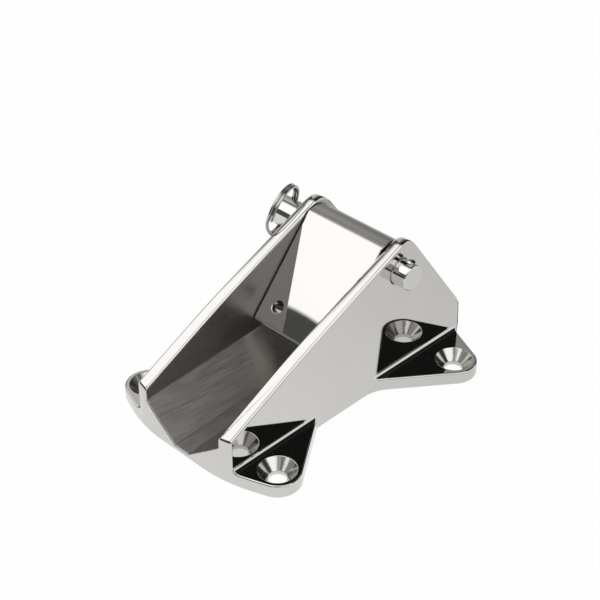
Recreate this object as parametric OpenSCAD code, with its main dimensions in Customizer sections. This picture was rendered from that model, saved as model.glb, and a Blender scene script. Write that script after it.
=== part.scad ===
// Deck chain stopper: a cast channel body, a hinged pawl, and a quick-release
// hinge pin with a sprung detent ball and a split pull ring.
// X runs along the chain from the nose to the tall end, Y across, Z up from the deck.

/* [Body] */
// Length of the body along the chain
body_l = 162.5; // [150:0.5:180]
// Width of the channel between the cheeks
channel_w = 50.1; // [44:0.1:60]
// Thickness of each cheek
cheek_t = 7.3; // [6:0.1:9]
// Height of the sloping cheek edge at the nose
nose_h = 24; // [20:0.5:30]
// Slope of the lower half of the cheek edge
lower_slope = 26.7; // [24:0.1:29]
// Slope of the upper half of the cheek edge
upper_slope = 23.3; // [20:0.1:24]
// Distance from the nose to the bend between the two slopes
bend_x = 49; // [40:1:60]
// Radius that blends the two slopes
bend_r = 500; // [200:10:800]
// Slope of the rear edge of the cheeks
rear_slope = 54.4; // [50:0.1:60]
// Height of the upright rear edge of the cheeks
rear_h = 24; // [20:0.5:28]
// Radius of the rear corner
rear_r = 6; // [3:0.5:8]
// Radius of the cheek top over the pin
crown_r = 9; // [6:0.5:11]

/* [Chain way] */
// Width of the flat bottom of the groove
groove_w = 9; // [6:0.5:14]
// Height of the groove bottom at the nose
groove_z = 2.6; // [2:0.1:4]
// Slope of the flanks across the groove
flank_slope = 37.5; // [34:0.5:40]
// Rise of the groove from the nose towards the pawl
groove_rise = 3.3; // [2:0.1:4.5]

/* [Lugs] */
// Thickness of the lugs
lug_t = 7.1; // [6:0.1:9]
// Radius of the lug ends about their screw holes
lug_r = 11.8; // [11:0.1:14]
// Distance from the nose to the front screw holes
front_hole_x = 18.7; // [17:0.1:24]
// Spacing of the two front screw holes
front_hole_span = 90.6; // [84:0.1:96]
// Distance from the rear face to the rear screw holes
rear_hole_x = 22.9; // [21:0.1:26]
// Spacing of the two rear screw holes
rear_hole_span = 98.4; // [92:0.1:104]
// Screw hole diameter
screw_d = 9; // [8:0.1:10]
// Countersink diameter at the lug top
sink_d = 19; // [16:0.1:20]
// Angle of the front edge towards the front lugs
nose_sweep = 20; // [15:1:24]
// Radius that blends the nose into the front lugs
nose_r = 80; // [40:5:85]
// Angle of the front lugs' inner edge
front_flank = 34.5; // [30:0.5:40]
// Angle of the rear lugs' inner edge
rear_flank = 38; // [34:0.5:42]
// Angle of the rear lugs' outer edge
rear_sweep = 23; // [20:1:28]
// Radius of the waist behind the front lugs, in plan
front_waist_r = 6; // [4:0.5:12]
// Radius of the waist before the rear lugs, in plan
rear_waist_r = 20; // [10:0.5:26]
// Radius between the rear lugs and the rear corner, in plan
heel_r = 4; // [2:0.5:4.5]
// Radius of the fillet between cheek and lug top
foot_r = 3; // [2:0.5:3.2]

/* [Pawl] */
// Lean of the closed pawl from the deck
pawl_lean = 49.6; // [48:0.1:52]
// Radius of the pawl's hinge barrel
barrel_r = 12.8; // [12:0.1:13.5]
// Distance of the pawl's flat face from the pin axis
pawl_face = 11.4; // [10:0.1:11.8]
// Thickness of the pawl plate
pawl_t = 11.4; // [8:0.1:13]
// Length of the pawl plate below the pin axis
pawl_l = 54.4; // [50:0.1:57]
// Radius of the pawl's striking edge
pawl_edge_r = 1.5; // [1:0.1:2.5]
// Diameter of the lanyard hole through the pawl
eye_d = 6.5; // [5:0.1:8]
// Distance of the lanyard hole down the face from the pin axis
eye_down = 43.3; // [38:0.1:45]
// Distance of the lanyard hole from the middle of the pawl
eye_off = 14.6; // [10:0.1:17]
// Side gap between pawl and cheek
pawl_side_gap = 0.4; // [0.2:0.05:0.6]
// Gap between the closed pawl and the flanks it seats on
pawl_seat_gap = 0.35; // [0.2:0.05:0.6]

/* [Pin] */
// Distance from the rear face to the pin axis
pin_x = 47.45; // [45:0.05:50]
// Height of the pin axis above the deck
pin_z = 64.1; // [62:0.1:66]
// Pin diameter
pin_d = 13.2; // [12:0.1:14]
// Radial running clearance of the pin in the cheeks and the pawl
pin_clear = 0.06; // [0.02:0.01:0.1]
// Length of the plain pin end that stands out of the cheek
pin_out = 8.4; // [8:0.1:10]
// Diameter of the pin head
head_d = 16; // [15:0.1:18]
// Length of the pin head
head_l = 16; // [14:0.1:20]
// Gap between the pin head and the cheek
head_gap = 0.3; // [0.1:0.05:0.5]
// Edge chamfer of the pin ends
pin_edge = 0.5; // [0.3:0.1:1]
// Detent ball diameter
ball_d = 6.5; // [6:0.1:6.8]
// Mouth diameter of the ball pocket
mouth_d = 5.9; // [5.5:0.05:6.1]
// Thickness of the rim that keeps the ball in
mouth_t = 0.4; // [0.3:0.05:0.6]
// Wall between the ball pocket and the pin end
pocket_wall = 1.1; // [0.8:0.1:2]
// Wall under the ball pocket
pocket_base = 1.6; // [1.2:0.1:2.5]
// Lean of the ball pocket to the rear
ball_lean = 35; // [0:1:60]
// Clearance of the ball in its pocket
ball_clear = 0.06; // [0.04:0.01:0.1]
// Wire diameter of the detent spring
spring_wire = 0.8; // [0.6:0.05:0.9]
// Number of turns of the detent spring
spring_turns = 4.5; // [3.5:0.5:5.5]

/* [Ring] */
// Outer diameter of the split ring
ring_d = 28.5; // [28:0.1:33]
// Wire diameter of the split ring
ring_wire = 1.7; // [1.4:0.05:1.9]
// Gap between the two turns of the split ring
ring_gap = 0.06; // [0.03:0.01:0.15]
// Distance of the cross hole from the outer end of the head
ring_hole_in = 5; // [4.5:0.1:6]
// Turn of the cross hole from upright to the rear
ring_turn = 41.4; // [0:0.1:60]
// Lean of the ring towards the cheek
ring_lean = 21; // [15:0.1:22]
// Clearance of the ring in its cross hole
ring_clear = 0.15; // [0.1:0.05:0.3]

/* [Hidden] */
$fn = 64;
steel = [0.80, 0.79, 0.77];
satin = [0.62, 0.61, 0.59];
bright = [0.88, 0.88, 0.87];
spring_steel = [0.55, 0.55, 0.56];

nose_x = -body_l / 2;
rear_x = body_l / 2;
cheek_in = channel_w / 2;
cheek_out = cheek_in + cheek_t;
beyond = 40;

// Screw hole centres on the +Y side
front_hole = [nose_x + front_hole_x, front_hole_span / 2];
rear_hole = [rear_x - rear_hole_x, rear_hole_span / 2];

// Pin axis and the pawl's own directions, down the face and out of it
pin = [rear_x - pin_x, pin_z];
pawl_down = [-cos(pawl_lean), -sin(pawl_lean)];
pawl_out = [-sin(pawl_lean), cos(pawl_lean)];
pawl_heel = pin + pawl_down * pawl_l + pawl_out * (pawl_face - pawl_t);
pawl_half = cheek_in - pawl_side_gap;

// Flank height at the cheek, at the nose and level under the pawl
groove_h = (cheek_in - groove_w / 2) * tan(flank_slope);
pawl_low = pawl_heel.y + pawl_edge_r * (cos(pawl_lean) + sin(pawl_lean) - 1);
seat_z = pawl_low - pawl_seat_gap + pawl_side_gap * tan(flank_slope);

// Pin head and its cross hole
head_y = cheek_out + head_gap;
head_end = head_y + head_l;
ring_r = (ring_d - ring_wire) / 2;
ring_hole_y = head_end - ring_hole_in;
ring_sag = ring_r - sqrt(ring_r * ring_r - head_d * head_d / 4);
ring_axis_off = ring_r - ring_sag / 2;
ring_pitch = ring_wire + ring_gap;
ring_hole_r = norm([(ring_sag + ring_wire) / 2, (ring_pitch + ring_wire) / 2]) + ring_clear;

// Ball pocket, measured out from the pin axis
pin_end = -cheek_out - pin_out;
pocket_r = ball_d / 2 + ball_clear;
rim_r = pin_d / 2 - mouth_t;
ball_seat = sqrt(ball_d * ball_d - mouth_d * mouth_d) / 2;
ball_out = rim_r - ball_seat - ball_clear;
ball_y = pin_end + pocket_r + pocket_wall;
pocket_floor = -rim_r + pocket_base;
spring_r = ball_d / 2 - spring_wire;
spring_top = ball_out - sqrt(pow((ball_d + spring_wire) / 2 + ball_clear, 2) - spring_r * spring_r);

function unit(v) = v / norm(v);
function ray(a) = [cos(a), sin(a)];

// Corner where two tangents of the circle (c, r) with normals a and b cross
function tip(c, r, a, b) = c + ray((a + b) / 2) * r / cos((b - a) / 2);

// X at which the tangent of the circle (c, r) with normal a crosses the given y
function cross_x(c, r, a, y) = c.x + (r - (y - c.y) * sin(a)) / cos(a);

// Y at which that tangent crosses the given x
function cross_y(c, r, a, x) = c.y + (r - (x - c.x) * cos(a)) / sin(a);

// Arc points that round the corner b = [x, y, r] between its neighbours a and c
function corner(a, b, c) =
    let (p = [b.x, b.y],
         u = unit([a.x, a.y] - p),
         v = unit([c.x, c.y] - p),
         half = acos(u * v) / 2,
         centre = p + unit(u + v) * b.z / sin(half),
         from = p + u * b.z / tan(half) - centre,
         to = p + v * b.z / tan(half) - centre,
         start = atan2(from.y, from.x),
         sweep = (atan2(to.y, to.x) - start + 540) % 360 - 180,
         steps = max(3, ceil(abs(sweep) / 6), ceil(b.z * abs(sweep) / 240)))
    b.z == 0 ? [p] : [for (k = [0:steps]) centre + b.z * ray(start + sweep * k / steps)];

// Closed outline with every corner [x, y, r] rounded
function rounded(path) =
    let (n = len(path))
    [for (i = [0:n - 1]) each corner(path[(i + n - 1) % n], path[i], path[(i + 1) % n])];

function mirrored(half) = concat(half, [for (i = [len(half) - 1:-1:0]) [half[i].x, -half[i].y, half[i].z]]);

// Plan of the base on the +Y side, from nose to rear: nose, front lug, waist, rear lug, rear corner
front_normal = 180 - nose_sweep;
front_tip = tip(front_hole, lug_r, front_normal, 90 - front_flank);
rear_tip = tip(rear_hole, lug_r, 90 + rear_flank, rear_sweep);
base_half = [
    [nose_x, cross_y(front_hole, lug_r, front_normal, nose_x), nose_r],
    [front_tip.x, front_tip.y, lug_r],
    [cross_x(front_hole, lug_r, 90 - front_flank, cheek_out), cheek_out, front_waist_r],
    [cross_x(rear_hole, lug_r, 90 + rear_flank, cheek_out), cheek_out, rear_waist_r],
    [rear_tip.x, rear_tip.y, lug_r],
    [cross_x(rear_hole, lug_r, rear_sweep, cheek_out), cheek_out, heel_r],
    [rear_x, cheek_out, 0]
];

// Side view of the cheeks: nose edge, bend, crown over the pin, rear corner
nose_low = nose_h - beyond * tan(lower_slope);
bend = [nose_x + bend_x, nose_h + bend_x * tan(lower_slope)];
crown_x = (rear_h - bend.y + bend.x * tan(upper_slope) + rear_x * tan(rear_slope))
    / (tan(upper_slope) + tan(rear_slope));
crown_z = bend.y + (crown_x - bend.x) * tan(upper_slope);
cheek_side = [
    [nose_x - beyond, nose_low, 0],
    [bend.x, bend.y, bend_r],
    [crown_x, crown_z, crown_r],
    [rear_x, rear_h, rear_r],
    [rear_x, -beyond, 0],
    [nose_x - beyond, -beyond, 0]
];

// Lays a side-view shape, drawn in X and Z, across the given half width
module across(half) {
    rotate([90, 0, 0])
        linear_extrude(2 * half, center = true)
            children();
}

module plan() {
    polygon(rounded(mirrored(base_half)));
}

// Deck plan of the cheeks alone, with the nose of the base
module cheek_plan() {
    intersection() {
        polygon(rounded(mirrored([base_half[0], [front_tip.x, front_tip.y, 0], [rear_x, front_tip.y, 0]])));
        translate([nose_x - beyond, -cheek_out])
            square([body_l + 2 * beyond, 2 * cheek_out]);
    }
}

// Section of the way above a groove whose flanks meet the cheeks at height z, run on past the cheeks
module way_section(z, past) {
    half = cheek_in + past;
    side_z = z + past * tan(flank_slope);
    polygon([
        [-half, side_z],
        [-groove_w / 2, z - groove_h],
        [groove_w / 2, z - groove_h],
        [half, side_z],
        [half, z + 2 * pin_z],
        [-half, z + 2 * pin_z]
    ]);
}

// Way along the whole body at the given rise from the nose
module way(z, rise, past) {
    translate([nose_x, 0, 0])
        rotate([0, -rise, 0])
            translate([-beyond, 0, 0])
                rotate([90, 0, 90])
                    linear_extrude(body_l + 2 * beyond)
                        way_section(z, past);
}

// Space between the cheeks: a rising groove at the nose and a level one under the pawl
module chain_way() {
    intersection() {
        translate([nose_x - beyond / 2, -cheek_in, 0])
            cube([body_l + beyond, channel_w, 1.5 * pin_z]);
        union() {
            way(groove_z + groove_h, groove_rise, cheek_t);
            way(seat_z, 0, 2 * cheek_t);
        }
    }
}

// Concave fillet between a cheek and the lug tops, let into both
module foot_fillet() {
    into = 1;
    steps = 6;
    arc = [for (k = [0:steps]) [cheek_out + foot_r, lug_t + foot_r] - foot_r * ray(90 * k / steps)];
    intersection() {
        translate([nose_x, 0, 0])
            rotate([90, 0, 90])
                linear_extrude(body_l)
                    polygon(concat(
                        [[cheek_out - into, lug_t + foot_r]],
                        arc,
                        [[cheek_out + foot_r, lug_t - into], [cheek_out - into, lug_t - into]]
                    ));
        linear_extrude(lug_t + foot_r)
            plan();
    }
}

module screw_hole(at) {
    over = 1;
    sink_h = (sink_d - screw_d) / 2;
    translate([at.x, at.y, 0]) {
        translate([0, 0, -over])
            cylinder(h = lug_t + 2 * over, d = screw_d);
        translate([0, 0, lug_t - sink_h])
            cylinder(h = sink_h + over, d1 = screw_d, d2 = sink_d + 2 * over);
    }
}

module body() {
    color(steel)
        difference() {
            union() {
                linear_extrude(lug_t)
                    plan();
                intersection() {
                    linear_extrude(2 * pin_z)
                        cheek_plan();
                    across(beyond + cheek_out)
                        polygon(rounded(cheek_side));
                }
                foot_fillet();
                mirror([0, 1, 0])
                    foot_fillet();
            }
            chain_way();
            translate([pin.x, 0, pin.y])
                rotate([90, 0, 0])
                    cylinder(h = 3 * cheek_out, d = pin_d + 2 * pin_clear, center = true);
            for (side = [-1, 1]) {
                screw_hole([front_hole.x, side * front_hole.y]);
                screw_hole([rear_hole.x, side * rear_hole.y]);
            }
        }
}

// The flat face is ground right across the hinge barrel
module pawl() {
    toe = pin + pawl_down * pawl_l + pawl_out * pawl_face;
    top = pin + pawl_out * pawl_face;
    back = pin + pawl_out * (pawl_face - pawl_t);
    eye = pin + pawl_down * eye_down;
    color(satin)
        difference() {
            union() {
                intersection() {
                    translate([pin.x, 0, pin.y])
                        rotate([90, 0, 0])
                            cylinder(h = 2 * pawl_half, r = barrel_r, center = true);
                    across(cheek_in)
                        polygon([
                            top + pawl_down * beyond,
                            top - pawl_down * beyond,
                            top - (pawl_down + pawl_out) * beyond,
                            top + (pawl_down - pawl_out) * beyond
                        ]);
                }
                across(pawl_half)
                    polygon(rounded([
                        [top.x, top.y, 0],
                        [back.x, back.y, 0],
                        [pawl_heel.x, pawl_heel.y, pawl_edge_r],
                        [toe.x, toe.y, pawl_edge_r]
                    ]));
            }
            translate([pin.x, 0, pin.y])
                rotate([90, 0, 0])
                    cylinder(h = 2 * cheek_out, d = pin_d + 2 * pin_clear, center = true);
            translate([eye.x, eye_off, eye.y])
                rotate([0, -pawl_lean, 0])
                    cylinder(h = 4 * pawl_t, d = eye_d, center = true);
        }
}

// Round bar along Y from y0 to y1 with chamfered ends
module bar(y0, y1, d, edge0, edge1) {
    rotate([-90, 0, 0])
        rotate_extrude()
            polygon([
                [0, y0],
                [d / 2 - edge0, y0],
                [d / 2, y0 + edge0],
                [d / 2, y1 - edge1],
                [d / 2 - edge1, y1],
                [0, y1]
            ]);
}

module hinge_pin() {
    color(bright)
        translate([pin.x, 0, pin.y])
            difference() {
                union() {
                    bar(pin_end, head_end - pin_edge, pin_d, pin_edge, 0);
                    bar(head_y, head_end, head_d, pin_edge, pin_edge);
                }
                translate([0, ball_y, 0])
                    rotate([0, ball_lean, 0]) {
                        translate([0, 0, pocket_floor])
                            cylinder(h = rim_r - pocket_floor, r = pocket_r);
                        cylinder(h = pin_d, d = mouth_d);
                    }
                translate([0, ring_hole_y, 0])
                    rotate([0, ring_turn, 0])
                        cylinder(h = 2 * head_d, r = ring_hole_r, center = true);
            }
}

module detent_ball() {
    color(bright)
        translate([pin.x, ball_y, pin.y])
            rotate([0, ball_lean, 0])
                translate([0, 0, ball_out])
                    sphere(d = ball_d);
}

// Closed tube of the given wire swept along points, with its section turned to each chord
module wire_tube(points, wire, sides) {
    n = len(points);
    rings = [for (i = [0:n - 1])
        let (along = unit(points[min(i + 1, n - 1)] - points[max(i - 1, 0)]),
             flat = unit(cross(along, [0, 0, 1])),
             up = cross(flat, along))
        for (k = [0:sides - 1])
            points[i] + wire / 2 * (flat * cos(360 * k / sides) + up * sin(360 * k / sides))];
    walls = [for (i = [0:n - 2]) for (k = [0:sides - 1]) for (t = [0, 1])
        let (a = i * sides + k,
             b = i * sides + (k + 1) % sides)
        t == 0 ? [a, b, a + sides] : [b, b + sides, a + sides]];
    first = [[for (k = [sides - 1:-1:0]) k]];
    last = [[for (k = [0:sides - 1]) (n - 1) * sides + k]];
    polyhedron(rings, concat(walls, first, last), convexity = 8);
}

module detent_spring() {
    low = pocket_floor + spring_wire / 2 + ball_clear;
    steps = ceil(spring_turns * 16);
    coil = [for (k = [0:steps])
        let (turn = spring_turns * k / steps,
             climb = min(max((turn - 0.5) / (spring_turns - 1), 0), 1))
        [spring_r * cos(360 * turn), spring_r * sin(360 * turn), low + climb * (spring_top - low)]];
    color(spring_steel)
        translate([pin.x, ball_y, pin.y])
            rotate([0, ball_lean, 0])
                wire_tube(coil, spring_wire, 8);
}

// Two-turn ring with its two wire ends side by side and a step from one turn to the other between them
module pull_ring() {
    gap_deg = 34;
    step_deg = 28;
    step_at = 250;
    turns = [for (a = [gap_deg:6:720 - gap_deg])
        let (over = min(max((a - 360 + step_deg) / (2 * step_deg), 0), 1),
             lift = over * over * (3 - 2 * over) - 0.5)
        [ring_r * cos(a + step_at), ring_r * sin(a + step_at), ring_pitch * lift]];
    color(bright)
        translate([pin.x, ring_hole_y, pin.y])
            rotate([0, ring_turn, 0])
                rotate([0, 0, ring_lean])
                    translate([-ring_axis_off, 0, 0])
                        rotate([90, 0, 0])
                            wire_tube(turns, ring_wire, 10);
}

body();
pawl();
hinge_pin();
detent_ball();
detent_spring();
pull_ring();
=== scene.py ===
"""Looks of a deck stopper: a polished cast body with a swinging pawl on a quick-release pin."""

import bpy
import numpy as np
from mathutils import Matrix, Vector


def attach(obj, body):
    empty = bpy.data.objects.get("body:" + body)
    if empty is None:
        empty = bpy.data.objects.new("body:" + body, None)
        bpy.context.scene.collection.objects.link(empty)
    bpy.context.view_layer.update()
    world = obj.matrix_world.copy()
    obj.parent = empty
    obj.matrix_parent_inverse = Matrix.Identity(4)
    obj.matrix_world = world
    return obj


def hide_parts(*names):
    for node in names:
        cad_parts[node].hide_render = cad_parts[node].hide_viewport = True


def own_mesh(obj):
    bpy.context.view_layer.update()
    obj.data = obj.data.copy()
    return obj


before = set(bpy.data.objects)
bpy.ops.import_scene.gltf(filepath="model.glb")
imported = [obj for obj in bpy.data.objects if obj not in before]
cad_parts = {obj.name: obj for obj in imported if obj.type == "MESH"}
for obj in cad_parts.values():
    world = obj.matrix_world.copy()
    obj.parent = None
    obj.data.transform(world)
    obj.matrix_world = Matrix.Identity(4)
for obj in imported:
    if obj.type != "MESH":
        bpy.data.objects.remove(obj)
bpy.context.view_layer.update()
scene = bpy.context.scene
scene.view_settings.view_transform = "Standard"


# The camera stands where the photograph was taken from: above the nose, looking across the near cheek
# through a long lens. Its place, direction and roll are fitted to the cheeks, the sinks and the pin.
camera_aim = Vector((0.01395, 0.01575, 0.0336))
camera_right = Vector((0.7054, -0.7088, 0.0))
camera_back = Vector((-0.5796, -0.5768, 0.5757)).normalized()
camera_up = camera_back.cross(camera_right).normalized()
camera_distance = 0.7562
camera_roll = np.radians(-0.25)
tilted_right = camera_right * np.cos(camera_roll) + camera_up * np.sin(camera_roll)
tilted_up = camera_up * np.cos(camera_roll) - camera_right * np.sin(camera_roll)
camera_turn = Matrix((tilted_right, tilted_up, camera_back)).transposed().to_4x4()
camera = bpy.data.objects.new("camera", bpy.data.cameras.new("camera"))
camera.data.lens = 90.39
camera.data.sensor_width = 36
camera.data.clip_end = 20
camera.matrix_world = Matrix.Translation(camera_aim + camera_back * camera_distance) @ camera_turn
scene.collection.objects.link(camera)
scene.camera = camera


# The studio: pale paper that runs out of sight in a dark room, lit by a large soft panel at the back left
# and one at the right, a low white wall, a dim glow at the back and a weak fill from the front. The
# polished steel shows these as its bands.
class Flow:
    """A socket of a node tree. Sums, differences and products of flows and numbers add Math nodes."""

    def __init__(self, tree, socket=None):
        self.tree = tree
        self.socket = socket

    def node(self, kind, settings=None, values=None, out=0):
        """Adds a node of this type: its settings come first, then its sockets' values or links.

        Gives the flow of the output that out names, or the node itself where out is None.
        """
        made = self.tree.nodes.new(kind)
        for name, value in (settings or {}).items():
            setattr(made, name, value)
        for name, value in (values or {}).items():
            if isinstance(value, Flow):
                self.tree.links.new(value.socket, made.inputs[name])
            else:
                made.inputs[name].default_value = value
        return made if out is None else Flow(self.tree, made.outputs[out])

    def into(self, socket):
        """Links this flow to a node's socket."""
        self.tree.links.new(self.socket, socket)

    def math(self, operation, *others):
        """A Math node of this flow and the others."""
        return self.node("ShaderNodeMath", {"operation": operation}, dict(enumerate((self, *others))))

    def vector(self, operation, *others, out=0):
        """A Vector Math node of this flow and the others."""
        inputs = dict(enumerate((self, *others)))
        return self.node("ShaderNodeVectorMath", {"operation": operation}, inputs, out)

    def split(self):
        """The flows of X, Y and Z."""
        parts = self.node("ShaderNodeSeparateXYZ", None, {0: self}, out=None)
        return [Flow(self.tree, socket) for socket in parts.outputs]

    def ramp(self, low, high, at_low=0.0, at_high=1.0):
        """Smooth step from at_low, where the flow is low, to at_high, where it is high."""
        return self.node(
            "ShaderNodeMapRange",
            {"interpolation_type": "SMOOTHSTEP"},
            {"Value": self, "From Min": low, "From Max": high, "To Min": at_low, "To Max": at_high},
        )

    def noise(self, scale, detail=3.0, stretch=(1, 1, 1)):
        """Noise from 0 to 1 on these coordinates, which are first multiplied by the stretch."""
        spread = self.vector("MULTIPLY", stretch)
        return self.node("ShaderNodeTexNoise", None, {"Vector": spread, "Scale": scale, "Detail": detail})

    def __add__(self, other):
        return self.math("ADD", other)

    def __sub__(self, other):
        return self.math("SUBTRACT", other)

    def __rsub__(self, other):
        return self.node("ShaderNodeMath", {"operation": "SUBTRACT"}, {0: other, 1: self})

    def __mul__(self, other):
        return self.math("MULTIPLY", other)

    __radd__ = __add__
    __rmul__ = __mul__


def tint(mask, first, second):
    """Colour that goes from first to second, each a colour or a flow, as the mask goes from 0 to 1."""
    ends = [colour if isinstance(colour, Flow) else (*colour, 1) for colour in (first, second)]
    return mask.node("ShaderNodeMix", {"data_type": "RGBA"}, {0: mask, 6: ends[0], 7: ends[1]}, out=2)


def new_material(name):
    """An empty material, the shader in it and its Object coordinates."""
    made = bpy.data.materials.new(name)
    made.use_nodes = True
    at = Flow(made.node_tree).node("ShaderNodeTexCoord", out="Object")
    return made, made.node_tree.nodes["Principled BSDF"], at


panel_light = 1.45
glow_light = 0.6
fill_light = 0.5
room = bpy.data.worlds.new("room")
room.use_nodes = True
scene.world = room
room_start = Flow(room.node_tree)
room_straight = room_start.node("ShaderNodeLightPath", out="Is Camera Ray")
room_x, room_y, room_z = room_start.node("ShaderNodeTexCoord", out="Generated").split()
room_turn = room_y - room_x

# Each light is a product of soft steps in the direction from which it shines on the object.
left_panel = (room_z + room_y * 0.41).ramp(0.7095, 0.7125)
left_panel = left_panel * room_x.ramp(-0.05, 0.3, 1, 0) * room_y.ramp(-0.3, -0.1)
right_panel = room_z.ramp(0.3, 0.38) * room_y.ramp(-0.5, -0.35, 1, 0)
right_panel = right_panel * room_x.ramp(0.2, 0.38, 1, 0) * room_x.ramp(-0.5, -0.35)
low_wall = room_z.ramp(0.36, 0.44, 1, 0) * room_x.ramp(0.05, 0.25) * room_y.ramp(-0.4, -0.2, 1, 0)
back_glow = room_turn.ramp(-0.5, 0.25) * room_turn.ramp(0.2, 0.35, 1, 0)
back_glow = back_glow * room_z.ramp(0.62, 0.85, 1, 0) * room_x.ramp(0.2, 0.35)
front_fill = room_x.ramp(-0.55, -0.4, 1, 0) * room_y.ramp(-0.3, -0.15, 1, 0) * room_z.ramp(0.15, 0.3)
room_dim = room_y.ramp(-0.2, 0.4, 0.015, 0.09)
room_light = left_panel.math("MAXIMUM", right_panel) * panel_light + low_wall + room_dim
room_light = room_light + back_glow * glow_light + front_fill * fill_light
room_seen = room_light * (1 - room_straight) + room_straight
room_seen.into(room.node_tree.nodes["Background"].inputs["Color"])

floor_half = 6.0
floor_drop = 0.0003
floor_corners = np.array([[-1, -1, 0], [1, -1, 0], [1, 1, 0], [-1, 1, 0]]) * floor_half - [0, 0, floor_drop]
floor_mesh = bpy.data.meshes.new("floor")
floor_mesh.from_pydata(floor_corners.tolist(), [], [(0, 1, 2, 3)])
floor = bpy.data.objects.new("floor", floor_mesh)
scene.collection.objects.link(floor)
paper, paper_shader, paper_at = new_material("floor_paper")
paper_shader.inputs["Roughness"].default_value = 0.9
tint(paper_at.noise(60), (0.86, 0.86, 0.86), (0.9, 0.9, 0.9)).into(paper_shader.inputs["Base Color"])

# The paper is white to the camera, and grows dimmer towards the rear in what the steel mirrors.
paper_rays = paper_at.node("ShaderNodeLightPath", out=None).outputs
paper_straight = Flow(paper.node_tree, paper_rays["Is Camera Ray"])
paper_mirrored = Flow(paper.node_tree, paper_rays["Is Glossy Ray"])
paper_through = Flow(paper.node_tree, paper_rays["Is Transmission Ray"])
paper_fade = paper_at.split()[0].ramp(-0.06, 0.16) * (1 - paper_straight)
paper_glow = tint(paper_fade, (1, 1, 1), (0.80, 0.79, 0.77))
paper_white = paper_at.node("ShaderNodeEmission", None, {"Color": paper_glow, "Strength": 1.0})
paper_share = (paper_mirrored.math("MAXIMUM", paper_through) * 0.9).math("MAXIMUM", paper_straight * 0.97)
paper_matt = Flow(paper.node_tree, paper_shader.outputs[0])
paper_mix = paper_at.node("ShaderNodeMixShader", None, {0: paper_share, 1: paper_matt, 2: paper_white})
paper_mix.into(paper.node_tree.nodes["Material Output"].inputs["Surface"])
floor_mesh.materials.append(paper)


# The body is one stainless casting: two cheeks, four lugs and the groove between them. Its outside is
# ground and mirror polished with softened edges, and between the cheeks it keeps a satin grain. Screws
# in the sinks of its lugs hold it to the deck.
MM = 0.001
UP = (0, 0, 1)
ACROSS = (0, 1, 0)
edge_round = 1.7 * MM
sharp_turn = np.radians(24)
weld_reach = 0.004 * MM
flat_turn = np.radians(0.6)
cheek_inside = 25.05 * MM
cheek_half = 3.65 * MM
cheek_middle = cheek_inside + cheek_half
pin_axis = Vector((33.8 * MM, 0, 64.1 * MM))
screw_holes = [(x * MM, side * y * MM, 0) for x, y in ((-62.55, 45.3), (58.35, 49.2)) for side in (-1, 1)]
sink_radius = 9.7 * MM
wave_height = 0.12 * MM
crown_at_nose = 16
crown_at_pin = 125


def edge_rounds(name, weigh):
    """Modifier nodes that shade a welded mesh smooth and weigh its edges for the bevel.

    An edge whose faces turn by more than the sharp turn gets the weight that weigh gives for its place.
    """
    group = bpy.data.node_groups.new(name, "GeometryNodeTree")
    group.interface.new_socket("Geometry", in_out="INPUT", socket_type="NodeSocketGeometry")
    group.interface.new_socket("Geometry", in_out="OUTPUT", socket_type="NodeSocketGeometry")
    start = Flow(group)
    turn = start.node("GeometryNodeInputMeshEdgeAngle")
    weight = turn.math("GREATER_THAN", sharp_turn) * weigh(start.node("GeometryNodeInputPosition"))
    smooth = start.node("GeometryNodeSetShadeSmooth", None, {0: start.node("NodeGroupInput")})
    marked = start.node(
        "GeometryNodeStoreNamedAttribute",
        {"data_type": "FLOAT", "domain": "EDGE"},
        {0: smooth, "Name": "bevel_weight_edge", "Value": weight},
    )
    marked.into(start.node("NodeGroupOutput", out=None).inputs[0])
    return group


def soften(node, width, group, segments):
    """Welds a CAD node's loose triangles, joins its flat faces and rounds its edges, all in modifiers."""
    weld = node.modifiers.new("weld", "WELD")
    weld.merge_threshold = weld_reach
    flat = node.modifiers.new("flat", "DECIMATE")
    flat.decimate_type = "DISSOLVE"
    flat.angle_limit = flat_turn
    node.modifiers.new("weights", "NODES").node_group = group
    bevel = node.modifiers.new("round", "BEVEL")
    bevel.width = width
    bevel.segments = segments
    bevel.limit_method = "WEIGHT"
    bevel.use_clamp_overlap = False
    bevel.loop_slide = False
    bevel.miter_outer = "MITER_SHARP"
    bevel.face_strength_mode = "FSTR_ALL"
    weighted = node.modifiers.new("even", "WEIGHTED_NORMAL")
    weighted.use_face_influence = True


def near(at, point, axis, radius):
    """1 within the radius of the line through the point along the axis, and 0 outside it."""
    off_line = at.vector("SUBTRACT", point).vector("CROSS_PRODUCT", axis)
    return off_line.vector("LENGTH", out="Value").math("LESS_THAN", radius)


def at_most(weight, where, share):
    """The weight, held down to a share where the mask is 1."""
    return weight.math("MINIMUM", 1 - where * (1 - share))


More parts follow.
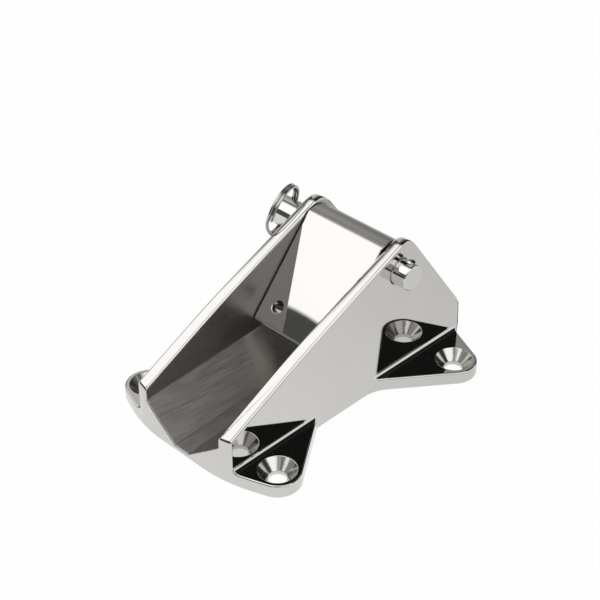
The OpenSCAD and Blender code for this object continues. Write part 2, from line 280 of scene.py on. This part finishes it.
def body_weight(at):
    """Share of the full round at each place: all of it outside, less on the lugs and inside the cheeks.

    The inner edges at the rear, the heels and the screw holes take only fine rounds.
    """
    along, across, height = at.split()
    off_middle = across.math("ABSOLUTE")
    inside = off_middle.math("LESS_THAN", cheek_inside + 0.3 * MM)
    on_top = (height - along * 0.1).math("GREATER_THAN", 30.5 * MM)
    foot = height.math("LESS_THAN", 1 * MM)
    lugs = height.math("LESS_THAN", 10.5 * MM)
    nose = along.math("LESS_THAN", -76 * MM) * height.math("LESS_THAN", 22 * MM)
    rear = inside * along.math("GREATER_THAN", 40 * MM) * height.math("LESS_THAN", 60 * MM)
    heel = along.math("GREATER_THAN", 74 * MM) * off_middle.math("GREATER_THAN", 31.5 * MM)
    heel = heel * height.math("LESS_THAN", 23 * MM) * (1 - foot)
    weight = 1 - inside * (0.6 - on_top * 0.4)
    for where, share in ((lugs, 0.55), (nose, 0.55), (rear, 0.12), (heel, 0.18)):
        weight = at_most(weight, where, share)
    weight = weight * (1 - foot) + foot * 0.4
    for hole in screw_holes:
        weight = at_most(weight, near(at, hole, UP, 10 * MM), 0.13)
    return at_most(weight, near(at, pin_axis, ACROSS, 7.5 * MM), 0.6)


def between(mask, first, second):
    """Number that goes from first to second as the mask goes from 0 to 1."""
    return first * (1 - mask) + second * mask


def relief(height, strength=1.0, distance=1.0):
    """Bump of this strength, whose height is the flow times the distance, in metres."""
    return height.node("ShaderNodeBump", None, {"Strength": strength, "Distance": distance, "Height": height})


def finish_steel(piece, steel, colour, roughness, bump=None):
    """Links a steel's colour, roughness and bump to its shader, and gives the steel to the piece."""
    shader = steel.node_tree.nodes["Principled BSDF"]
    shader.inputs["Metallic"].default_value = 1
    colour.into(shader.inputs["Base Color"])
    roughness.into(shader.inputs["Roughness"])
    if bump is not None:
        bump.into(shader.inputs["Normal"])
    piece.data.materials.clear()
    piece.data.materials.append(steel)


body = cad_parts["body"]
soften(body, edge_round, edge_rounds("body_rounds", body_weight), 4)
body_steel, _, body_at = new_material("polished_casting")
body_x, body_y, _ = body_at.split()
body_side = body_y.math("ABSOLUTE")
facing_x, _, facing_z = body_at.node("ShaderNodeNewGeometry", out="True Normal").split()
between_cheeks = body_side.ramp(cheek_inside + 0.1 * MM, cheek_inside + 0.4 * MM, 1, 0)
over_holes = sum(near(body_at, hole, UP, sink_radius) for hole in screw_holes)
body_satin = between_cheeks * facing_x.ramp(-0.9, -0.8)
body_sinks = over_holes * facing_z.ramp(0.8, 0.95, 1, 0)
body_grain = body_at.noise(1.0, 4, (60, 400, 1400))
body_cloud = body_at.noise(35)
polished_tint = tint(body_cloud, (0.60, 0.59, 0.57), (0.64, 0.63, 0.61))
satin_tint = tint(body_grain, (0.42, 0.405, 0.38), (0.54, 0.525, 0.50))
polished_rough = body_cloud * 0.04 + 0.02 + body_sinks * 0.12
satin_rough = body_grain * 0.22 + 0.24
body_wave = between(body_satin, body_at.noise(22, 1) * 0.6, body_grain * 0.5) * wave_height

# The cheeks' tops are crowned: a parabola over the cheek's thickness, zero at both of its sides, whose
# curve per metre grows from the nose to the pin. It fades out at the rear and keeps off the bore.
cheek_off = (body_side - cheek_middle).math("MINIMUM", cheek_half).math("MAXIMUM", -cheek_half)
cheek_swell = body_x.ramp(-50 * MM, 32 * MM, crown_at_nose, crown_at_pin)
cheek_swell = cheek_swell * body_x.ramp(40 * MM, 72 * MM, 1, 0.1)
off_bore = 1 - near(body_at, pin_axis, ACROSS, 8 * MM)
cheek_crown = (cheek_half**2 - cheek_off * cheek_off) * cheek_swell * off_bore
finish_steel(
    body,
    body_steel,
    tint(body_satin, polished_tint, satin_tint),
    between(body_satin, polished_rough, satin_rough),
    relief(body_wave + cheek_crown),
)


# The pawl is a cast flap that swings between the cheeks on the hinge pin. Its flat face is mirror
# polished, and the barrel round the pin keeps a satin grain across it.
pawl_round = 0.6 * MM
pawl_lean = np.radians(49.6)
pawl_down = (-np.cos(pawl_lean), 0, -np.sin(pawl_lean))
face_start = -5.8 * MM


def pawl_weight(at):
    """Full rounds on the pawl, and finer ones at its bore."""
    return 1 - near(at, pin_axis, ACROSS, 7.5 * MM) * 0.7


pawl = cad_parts["pawl"]
soften(pawl, pawl_round, edge_rounds("pawl_rounds", pawl_weight), 3)
pawl_steel, _, pawl_at = new_material("pawl_casting")
pawl_along = pawl_at.vector("SUBTRACT", pin_axis).vector("DOT_PRODUCT", pawl_down, out="Value")
pawl_barrel = pawl_along.ramp(face_start - 0.3 * MM, face_start + 0.3 * MM, 1, 0)
pawl_grain = pawl_at.noise(1.0, 4, (1500, 60, 1500))
pawl_cloud = pawl_at.noise(35)
face_tint = tint(pawl_cloud, (0.62, 0.61, 0.59), (0.66, 0.65, 0.63))
barrel_tint = tint(pawl_grain, (0.46, 0.445, 0.42), (0.58, 0.565, 0.54))
pawl_wave = between(pawl_barrel, pawl_at.noise(25, 1) * 0.6, pawl_grain * 0.4)
finish_steel(
    pawl,
    pawl_steel,
    tint(pawl_barrel, face_tint, barrel_tint),
    between(pawl_barrel, pawl_cloud * 0.02 + 0.006, pawl_grain * 0.2 + 0.2),
    relief(pawl_wave, 0.06, 2 * MM),
)


# The hinge pin is a stainless bar, turned and polished, with chamfered ends and a thicker head. It
# passes through both cheeks and the pawl's barrel, and can be pulled out by its ring.
pin_round = 0.2 * MM
turning_rate = 9000

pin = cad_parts["hinge_pin"]
pin_rounds = edge_rounds("pin_rounds", lambda at: 1)
soften(pin, pin_round, pin_rounds, 2)
pin_steel, _, pin_at = new_material("turned_bar")

# The lathe's marks are fine rings about the axis, which show on the ends and the chamfers.
pin_radius = pin_at.vector("SUBTRACT", pin_axis).vector("MULTIPLY", (1, 0, 1)).vector("LENGTH", out="Value")
pin_turning = (pin_radius * turning_rate).math("SINE") * 0.5 + 0.5
pin_cloud = pin_at.noise(60)
finish_steel(
    pin,
    pin_steel,
    tint(pin_cloud, (0.64, 0.635, 0.62), (0.69, 0.685, 0.675)),
    pin_cloud * 0.05 + pin_turning * 0.015 + 0.03,
    relief(pin_turning, 0.05, 0.5 * MM),
)


# The detent ball is a hardened steel ball, ground and polished. It sits in a pocket near the pin's plain
# end, where the spring pushes it out and the pocket's rim keeps it in.
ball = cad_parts["detent_ball"]
ball.modifiers.new("weld", "WELD").merge_threshold = weld_reach
ball.modifiers.new("smooth", "NODES").node_group = pin_rounds
ball_steel, _, ball_at = new_material("ball_steel")
ball_cloud = ball_at.noise(300)
ball_tint = tint(ball_cloud, (0.60, 0.60, 0.60), (0.66, 0.66, 0.66))
finish_steel(ball, ball_steel, ball_tint, ball_cloud * 0.05 + 0.04)


# The detent spring is a small coil of drawn wire under the ball, inside the pin. Its end turns lie flat.
spring_wire = 0.8 * MM
spring_radius = 2.45 * MM
spring_turns = 4.5
spring_low = -4.14 * MM
spring_top = 1.99 * MM
spring_y = -36.34 * MM
spring_lean = np.radians(35)
flat_turns = 0.5


def turned(points, axis, angle):
    """Points turned about the origin: axis 1 tips Z towards X, axis 2 tips X towards Y."""
    c, s = np.cos(angle), np.sin(angle)
    turn = {1: [[c, 0, s], [0, 1, 0], [-s, 0, c]], 2: [[c, -s, 0], [s, c, 0], [0, 0, 1]]}[axis]
    return points @ np.array(turn).T


def wire_steps(first, last, step, tip):
    """Even steps from first to last, with eight finer ones within a tip's length of both ends."""
    fine = np.linspace(0, tip, 9)
    return np.concatenate([first + fine, np.arange(first + tip + step, last - tip, step), last - fine[::-1]])


def wire_piece(name, path, axis, wire, sides):
    """Closed wire along a path: a circle carried along it, which shrinks to a dome at both ends.

    The circle is spanned by the outward direction, which is the tangent crossed with the axis, and by
    the outward direction crossed with the tangent. Within half a wire of an end its radius follows a
    quarter circle.
    """
    tangent = np.gradient(path, axis=0)
    tangent /= np.linalg.norm(tangent, axis=1, keepdims=True)
    outward = np.cross(tangent, axis)
    outward /= np.linalg.norm(outward, axis=1, keepdims=True)
    upward = np.cross(outward, tangent)
    run = np.r_[0, np.cumsum(np.linalg.norm(np.diff(path, axis=0), axis=1))]
    dome = np.clip(np.minimum(run, run[-1] - run) / (wire / 2), 0, 1)
    radius = wire / 2 * np.sqrt(1 - (1 - dome) ** 2)
    around = np.linspace(0, 2 * np.pi, sides, endpoint=False)
    circle = outward[:, None] * np.cos(around)[:, None] + upward[:, None] * np.sin(around)[:, None]
    skin = path[:, None] + circle * radius[:, None, None]
    points = np.vstack([skin[1:-1].reshape(-1, 3), path[:1], path[-1:]])
    rows = len(path) - 2
    row, spoke = np.meshgrid(np.arange(rows - 1), np.arange(sides), indexing="ij")
    here = row * sides + spoke
    beside = row * sides + (spoke + 1) % sides
    quads = np.stack([here, beside, beside + sides, here + sides], -1).reshape(-1, 4).tolist()
    rim = np.arange(sides)
    next_rim = (rim + 1) % sides
    last_row = (rows - 1) * sides
    start_fan = np.stack([np.full(sides, rows * sides), next_rim, rim], -1).tolist()
    end_fan = np.stack([np.full(sides, rows * sides + 1), last_row + rim, last_row + next_rim], -1).tolist()
    mesh = bpy.data.meshes.new(name)
    mesh.from_pydata(points.tolist(), [], quads + start_fan + end_fan)
    mesh.shade_smooth()
    made = bpy.data.objects.new(name, mesh)
    scene.collection.objects.link(made)
    return made


# A helix that climbs evenly, apart from its flat half turn at each end, leant over and set in the pin.
spring_turn = wire_steps(0, spring_turns, 0.02, 0.026)
spring_climb = np.clip((spring_turn - flat_turns) / (spring_turns - 2 * flat_turns), 0, 1)
spring_round = 2 * np.pi * spring_turn
spring_path = np.stack(
    [
        spring_radius * np.cos(spring_round),
        spring_radius * np.sin(spring_round),
        spring_low + spring_climb * (spring_top - spring_low),
    ],
    -1,
)
spring_middle = np.array([pin_axis.x, spring_y, pin_axis.z])
spring_path = turned(spring_path, 1, spring_lean) + spring_middle
spring_axis = turned(np.array([0, 0, 1.0]), 1, spring_lean)
spring = wire_piece("detent_coil", spring_path, spring_axis, spring_wire, 12)
spring_steel, _, spring_at = new_material("drawn_spring_wire")
spring_cloud = spring_at.noise(900)
spring_tint = tint(spring_cloud, (0.50, 0.50, 0.51), (0.60, 0.60, 0.61))
finish_steel(spring, spring_steel, spring_tint, spring_cloud * 0.15 + 0.2)
spring_foot = spring_middle + spring_axis * (spring_low - spring_wire / 2)
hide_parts("detent_spring")
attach(spring, "pin")
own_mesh(spring)


# The pull ring is a split ring of polished wire, wound in two turns with a step from one to the other,
# and threaded through the cross hole of the pin head. Its two cut ends lie at either side of the step,
# one on each face of the ring.
ring_wire = 1.7 * MM
ring_radius = 13.4 * MM
ring_pitch = 1.76 * MM
ring_hole_y = 43.65 * MM
ring_off = 12.075 * MM
ring_turn = np.radians(41.4)
ring_lean = np.radians(21)
ring_first = 34
ring_last = 686
ring_start = 250
step_start = 332
step_length = 56

# Two turns in degrees; over the step's length the wire goes smoothly from one turn's plane to the other's.
ring_angle = wire_steps(ring_first, ring_last, 2, 4)
ring_over = np.clip((ring_angle - step_start) / step_length, 0, 1)
ring_lift = ring_pitch * (ring_over**2 * (3 - 2 * ring_over) - 0.5)
ring_round = np.radians(ring_angle + ring_start)
ring_path = np.stack(
    [ring_radius * np.cos(ring_round) - ring_off, -ring_lift, ring_radius * np.sin(ring_round)], -1
)
ring_path = turned(turned(ring_path, 2, ring_lean), 1, ring_turn) + (pin_axis.x, ring_hole_y, pin_axis.z)
ring_axis = turned(turned(np.array([0, -1.0, 0]), 2, ring_lean), 1, ring_turn)
ring = wire_piece("split_ring", ring_path, ring_axis, ring_wire, 20)
ring_steel, _, ring_at = new_material("ring_wire")
ring_cloud = ring_at.noise(400)
ring_tint = tint(ring_cloud, (0.44, 0.425, 0.40), (0.56, 0.54, 0.51))
finish_steel(ring, ring_steel, ring_tint, ring_cloud * 0.12 + 0.1)
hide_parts("pull_ring")
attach(ring, "ring")
